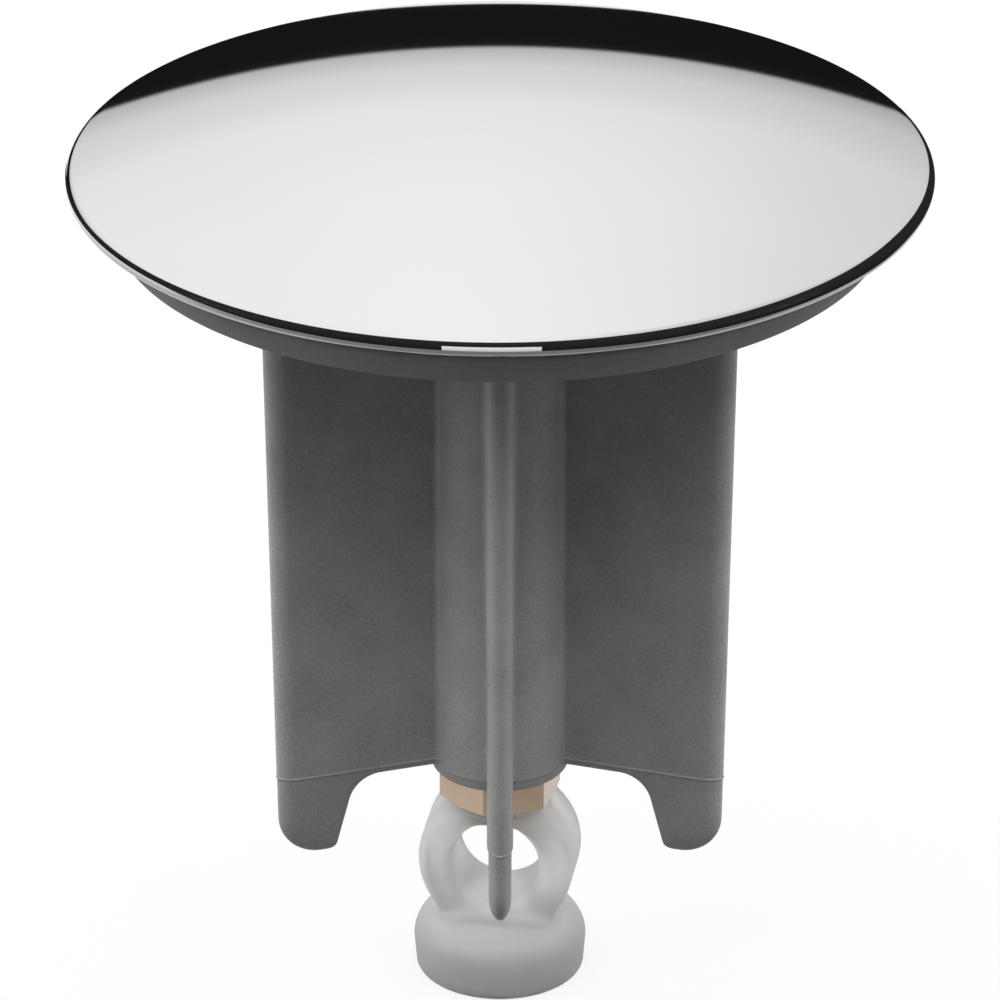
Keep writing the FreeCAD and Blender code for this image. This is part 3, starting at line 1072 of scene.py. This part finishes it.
    def eye_field(self, points: np.ndarray) -> np.ndarray:
        """Rough signed distance to the eye: ring, foot and collar, blended where they meet, cut flat on top.

        The ring's section is a box with rounded edges: the distance to the box drawn in by the rounding,
        less the rounding. Each blend is the smooth minimum of two distances: the smaller, less a quarter
        of the squared overlap of the blend's width.

        Args:
            points: Points, three coordinates each.

        Returns:
            Distances, negative inside.
        """
        turn = math.radians(-self.eye_turn)
        along = points[:, 0] * math.sin(turn) + points[:, 1] * math.cos(turn)
        aside = points[:, 0] * math.cos(turn) - points[:, 1] * math.sin(turn)
        rise = points[:, 2] - self.eye_height
        middle, half_wall = self.eye_wall(aside, rise)
        off_wall = np.abs(np.hypot(aside, rise) - middle) - half_wall + self.eye_edge
        off_face = np.abs(along) - self.eye_half_width + self.eye_edge
        ring = np.hypot(np.maximum(off_wall, 0.0), np.maximum(off_face, 0.0)) - self.eye_edge
        ring += np.minimum(np.maximum(off_wall, off_face), 0.0)
        body = self._softly(ring, self._outside_section(points, self.foot_outline()), self.foot_blend)
        body = self._softly(body, self._outside_section(points, self.collar_outline()), self.collar_blend)
        return np.maximum(np.maximum(body, points[:, 2] - self.eye_top), -points[:, 2])

    @staticmethod
    def _softly(first: np.ndarray, second: np.ndarray, width: float) -> np.ndarray:
        """Smooth minimum of two distances over a blend of the given width."""
        overlap = np.maximum(width - np.abs(first - second), 0.0) / width
        return np.minimum(first, second) - overlap**2 * width / 4.0

    def eye_mesh(self) -> bpy.types.Mesh:
        """One closed skin over ring, foot and collar.

        The three forms are remeshed into one skin, whose points then step along the field's slope
        until the field is nought.

        Returns:
            The mesh, in metres.
        """
        rough = Patch.joined([
            self.eye_ring(),
            lathe(self.foot_outline(), self.foot_turns, closed=False),
            lathe(self.collar_outline(), self.eye_turns, closed=False),
        ]).mesh("eye_forms", scale=1.0)
        forms = linked(rough)
        remesh = forms.modifiers.new("one_skin", "REMESH")
        remesh.mode = "VOXEL"
        remesh.voxel_size = self.voxel
        graph = bpy.context.evaluated_depsgraph_get()
        skin = bpy.data.meshes.new_from_object(forms.evaluated_get(graph))
        skin.name = "eye_moulding"
        bpy.data.objects.remove(forms)
        bpy.data.meshes.remove(rough)
        flat = np.empty(3 * len(skin.vertices), dtype=np.float32)
        skin.vertices.foreach_get("co", flat)
        points = flat.reshape(-1, 3).astype(float)
        for _ in range(self.fit_rounds):
            value = self.eye_field(points)
            ahead = [self.eye_field(points + self.fit_step * axis) for axis in np.eye(3)]
            slope = (np.stack(ahead, axis=-1) - value[:, None]) / self.fit_step
            points -= (value / np.maximum((slope**2).sum(-1), self.least_slope))[:, None] * slope
        skin.vertices.foreach_set("co", (points * MM).astype(np.float32).ravel())
        skin.update()
        return skin

    def build(self) -> None:
        """Build stud, nut and eye and dress them."""
        stud = self.stud().mesh("threaded_stud")
        stud_finish = MachinedBrass(name="stud_brass", roughness=0.24)
        settle(stud, stud_finish, self.stud_sharp, Body.STUD, "adjuster_stud")
        nut = self.nut().mesh("hexagon_nut")
        nut_finish = MachinedBrass(name="dull_nut_brass", dark=(0.54, 0.385, 0.265),
                                   light=(0.70, 0.52, 0.375), marks=(0.7, 0.7, 5.0), metallic=0.9,
                                   lacquer=0.7)
        settle(nut, nut_finish, self.nut_sharp, Body.NUT, "lock_nut")
        settle(self.eye_mesh(), MilkyPlastic(), self.eye_sharp, Body.EYE, "adjuster_eye")


@dataclass
class Inserts:
    """Turned brass pieces inside the plug, which stay as they are packed and get a brass finish."""

    nodes: tuple[str, ...] = ("cap_stud", "upper_bush", "lower_bush")

    def build(self) -> None:
        """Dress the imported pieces."""
        brass = MachinedBrass(name="insert_brass").material()
        for name in self.nodes:
            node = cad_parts[name]
            for holder in node.material_slots:
                holder.material = brass
            LOG.info("%s keeps its packed shape", name)


@dataclass
class RimFlag:
    """Black studio flag close round the front of the rim, which only reflections show. Sizes in millimetres.

    The stops pair degrees round the rim with degrees on the bead's section.
    """

    view_elevation: float
    reach: float = 1.6
    first_stops: Stops = ((-95, 58), (-75, 51), (-25, 49), (26, 44), (52, 33), (66, 24), (90, 26), (112, 24))
    last_stops: Stops = ((-75, 76), (-50, 80), (-41, 88), (-30, 96), (62, 100), (70, 90), (112, 80))
    strip_round_rim: tuple[float, float] = (-7.8, 5.8)
    strip_on_bead: tuple[float, float] = (73.0, 97.0)
    steps_round_rim: int = 260
    steps_on_bead: int = 65
    flag_level: float = 0.02
    strip_level: float = 1.0

    def build(self) -> None:
        """Gutter over the bead, with a white strip at the front that makes its highlight.

        Each point lies where a sight line from the camera, turned back by the bead at one angle of its
        section, meets a slightly larger ring round the bead. The angles between which the gutter reaches
        change round the rim, so that its dark reflection is thin on the left and broad on the right.
        """
        cap = Cap()
        tilt = math.radians(self.view_elevation)
        ends = self.first_stops[0][0], self.first_stops[-1][0]
        turned = np.linspace(*ends, self.steps_round_rim + 1)[:, None]
        first, last = (np.interp(turned, *np.array(stops).T) for stops in (self.first_stops, self.last_stops))
        place = first + (last - first) * np.linspace(0.0, 1.0, self.steps_on_bead + 1)
        round_rim, on_bead = np.radians(turned), np.radians(place)
        sight = np.arctan2(math.cos(tilt) * np.cos(round_rim), math.sin(tilt))
        leaves = 2.0 * on_bead - sight
        forward = cap.bead_radius * np.cos(leaves - on_bead)
        path = np.sqrt(forward**2 + self.reach**2 - cap.bead_radius**2) - forward
        outward = cap.bead_radius * np.sin(on_bead) + path * np.sin(leaves)
        upward = cap.bead_radius * np.cos(on_bead) + path * np.cos(leaves)
        points = around(cap.rim_radius + outward, round_rim - FULL_TURN / 4, cap.rim_height + upward)
        mesh = Patch.grid(points).mesh("rim_flag")
        strip = (turned > self.strip_round_rim[0]) & (turned < self.strip_round_rim[1])
        strip = strip & (place > self.strip_on_bead[0]) & (place < self.strip_on_bead[1])
        flag = add_piece(mesh, plain_light("flag_black", self.flag_level), ALL_SMOOTH)
        mesh.materials.append(plain_light("strip_white", self.strip_level))
        white = (strip[:-1, :-1] & strip[1:, 1:]).ravel().astype(np.int32)
        mesh.polygons.foreach_set("material_index", white)
        for kind in ("camera", "diffuse", "transmission", "volume_scatter", "shadow"):
            setattr(flag, f"visible_{kind}", False)


def plain_light(name: str, grey: float) -> bpy.types.Material:
    """Material of one even glow, for studio cards.

    Args:
        name: Name of the material.
        grey: Level of the glow.
    """
    made, shader = start_material(name)
    glow = shader.node("ShaderNodeEmission", {}, {"Color": (grey, grey, grey, 1.0), "Strength": 1.0})
    shader.node("ShaderNodeOutputMaterial", {}, {"Surface": glow})
    return made


@dataclass(frozen=True)
class SoftBox:
    """Soft square lamp. Sizes in metres, power in watts."""

    name: str
    place: Triple
    size: float
    watts: float
    mirrored: bool

    def build(self, aim: Vector) -> None:
        """Put up the lamp.

        Args:
            aim: Point that it faces.
        """
        data = bpy.data.lights.new(self.name, "AREA")
        data.shape = "SQUARE"
        data.size = self.size
        data.energy = self.watts
        lamp = faced(data, Vector(self.place), aim)
        lamp.visible_glossy = self.mirrored
        lamp.visible_camera = False


@dataclass
class Studio:
    """Pale floor, soft lights, white surroundings and the camera. Sizes in metres.

    The stops of the sky, the top and the flanks follow a direction's height, those of the sides its
    sideways part, and those of the floor its places in millimetres over the given widths.
    """

    aim: Triple = (0.0, 0.0, 0.039529)
    distance: float = 0.45593
    elevation: float = 26.279
    lens: float = 220.35
    sensor: float = 36.0
    clip: tuple[float, float] = (0.01, 10.0)
    floor_rings: tuple[float, ...] = (0.0, 0.05, 0.2, 0.5)
    floor_turns: int = 96
    floor_sink: float = 0.02
    bounce: float = 0.1
    pale: float = 0.86
    plain_white: float = 0.8
    top_light: float = 3.2
    left_light: float = 2.8
    right_light: float = 1.8
    sky_stops: Stops = ((0.0, 0.008), (0.152, 0.008), (0.168, 0.52), (0.25, 0.725), (0.31, 0.78),
                        (0.38, 0.88), (0.6, 0.96), (0.85, 0.985))
    side_stops: Stops = ((0.0, 0.92), (0.40, 0.98), (0.47, 1.0), (0.53, 0.98), (0.62, 0.85), (0.75, 0.65))
    top_stops: Stops = ((0.62, 0.0), (0.76, 1.0), (0.86, 1.0), (0.93, 0.1))
    flank_stops: Stops = ((0.25, 0.0), (0.40, 1.0), (0.60, 1.0), (0.75, 0.0))
    # painted light and shade of the floor as reflections see it
    floor_ahead: float = 160.0
    floor_ahead_stops: Stops = ((0.0, 0.42), (0.31, 0.50), (0.42, 0.75), (0.5, 0.95), (1.0, 0.95))
    floor_across: float = 200.0
    floor_across_stops: Stops = ((0.0, 1.0), (1.0, 0.8))
    lamp_aim: Triple = (0.0, 0.0, 0.035)
    lamps: tuple[SoftBox, ...] = (
        SoftBox("left_softbox", (-0.57, -0.19, 0.06), 0.25, 0.38, True),
        SoftBox("right_softbox", (0.57, -0.19, 0.06), 0.25, 0.35, True),
        SoftBox("left_edge_light", (-0.58, 0.15, 0.10), 0.2, 0.2, False),
        SoftBox("right_edge_light", (0.58, 0.15, 0.10), 0.2, 0.1, False),
    )

    def camera(self) -> None:
        """Camera in front of the plug, looking down on the cap."""
        tilt = math.radians(self.elevation)
        data = bpy.data.cameras.new("camera")
        data.lens = self.lens
        data.sensor_fit = "HORIZONTAL"
        data.sensor_width = self.sensor
        data.clip_start, data.clip_end = self.clip
        aim = Vector(self.aim)
        back = Vector((0.0, -math.cos(tilt), math.sin(tilt)))
        bpy.context.scene.camera = faced(data, aim + back * self.distance, aim)

    def world(self) -> None:
        """White for the camera, a bright sky for reflections and light from above and both sides."""
        world = bpy.data.worlds.new("studio")
        bpy.context.scene.world = world
        world.use_nodes = True
        shader = Shader(world.node_tree)
        direction = shader.node("ShaderNodeTexCoord", {}, {}, "Generated")
        across, upward = shader.part(direction, "X"), shader.part(direction, "Z")
        sky = shader.ramp(upward, self.sky_stops)
        sky = sky * shader.ramp(0.5 + 0.5 * across, self.side_stops, "B_SPLINE")
        white = shader.is_ray("Camera").larger(shader.is_ray("Transmission"))
        to_left, to_right = (0.0 - across).larger(0.0), across.larger(0.0)
        flanks = self.left_light * to_left * to_left + self.right_light * to_right * to_right
        fill = shader.ramp(upward, self.top_stops) * self.top_light
        fill = fill + shader.ramp(upward, self.flank_stops) * flanks
        dim = fill + (sky - fill) * shader.is_ray("Glossy")
        level = dim + (1.0 - dim) * white
        inputs = {"Color": (1.0, 1.0, 1.0, 1.0), "Strength": level}
        background = shader.node("ShaderNodeBackground", {}, inputs)
        shader.node("ShaderNodeOutputWorld", {}, {"Surface": background})

    def floor(self) -> None:
        """Pale round floor that looks white and keeps the plug's shadow; in reflections it glows with painted
        light and shade, dimmer in front and to the right.
        """
        radii = np.array(self.floor_rings) / MM
        outline = np.stack([radii, np.full_like(radii, -self.floor_sink)], axis=-1)
        mesh = lathe(outline, self.floor_turns, closed=False).mesh("floor")
        made, shader = start_material("pale_floor")
        seen, glossy, through = (shader.is_ray(kind) for kind in ("Camera", "Glossy", "Transmission"))
        place = shader.place()
        # painted light and shade for reflections: the floor's glow falls towards the front and to the right
        ahead = 0.5 + shader.part(place, "Y") * (1.0 / self.floor_ahead)
        across = 0.5 + shader.part(place, "X") * (1.0 / self.floor_across)
        mirrored = shader.ramp(ahead, self.floor_ahead_stops) * shader.ramp(across, self.floor_across_stops)
        matte = shader.node("ShaderNodeBsdfDiffuse", {}, {
            "Color": shader.tinted(seen, (self.bounce,) * 3, (self.pale,) * 3)})
        white = shader.node("ShaderNodeEmission", {}, {
            "Color": (1.0, 1.0, 1.0, 1.0), "Strength": seen.larger(through) + mirrored * glossy})
        share = (seen * self.plain_white).larger(through) + glossy
        surface = shader.node("ShaderNodeMixShader", {}, {0: share, 1: matte, 2: white})
        shader.node("ShaderNodeOutputMaterial", {}, {"Surface": surface})
        add_piece(mesh, made, ALL_SMOOTH)

    def build(self) -> None:
        """Set up camera, surroundings, floor, lamps and flag."""
        bpy.context.scene.view_settings.view_transform = "Standard"
        self.camera()
        self.world()
        self.floor()
        for lamp in self.lamps:
            lamp.build(Vector(self.lamp_aim))
        RimFlag(self.elevation).build()
        LOG.info("studio is set up")


def main() -> None:
    """Build the plug's sub-assemblies and the studio."""
    logging.basicConfig(level=logging.INFO, format="%(name)s: %(message)s")
    Studio().build()
    for assembly in (Cap(), SealRing(), Guide(), Adjuster(), Inserts()):
        assembly.build()


if __name__ == "__main__":
    main()
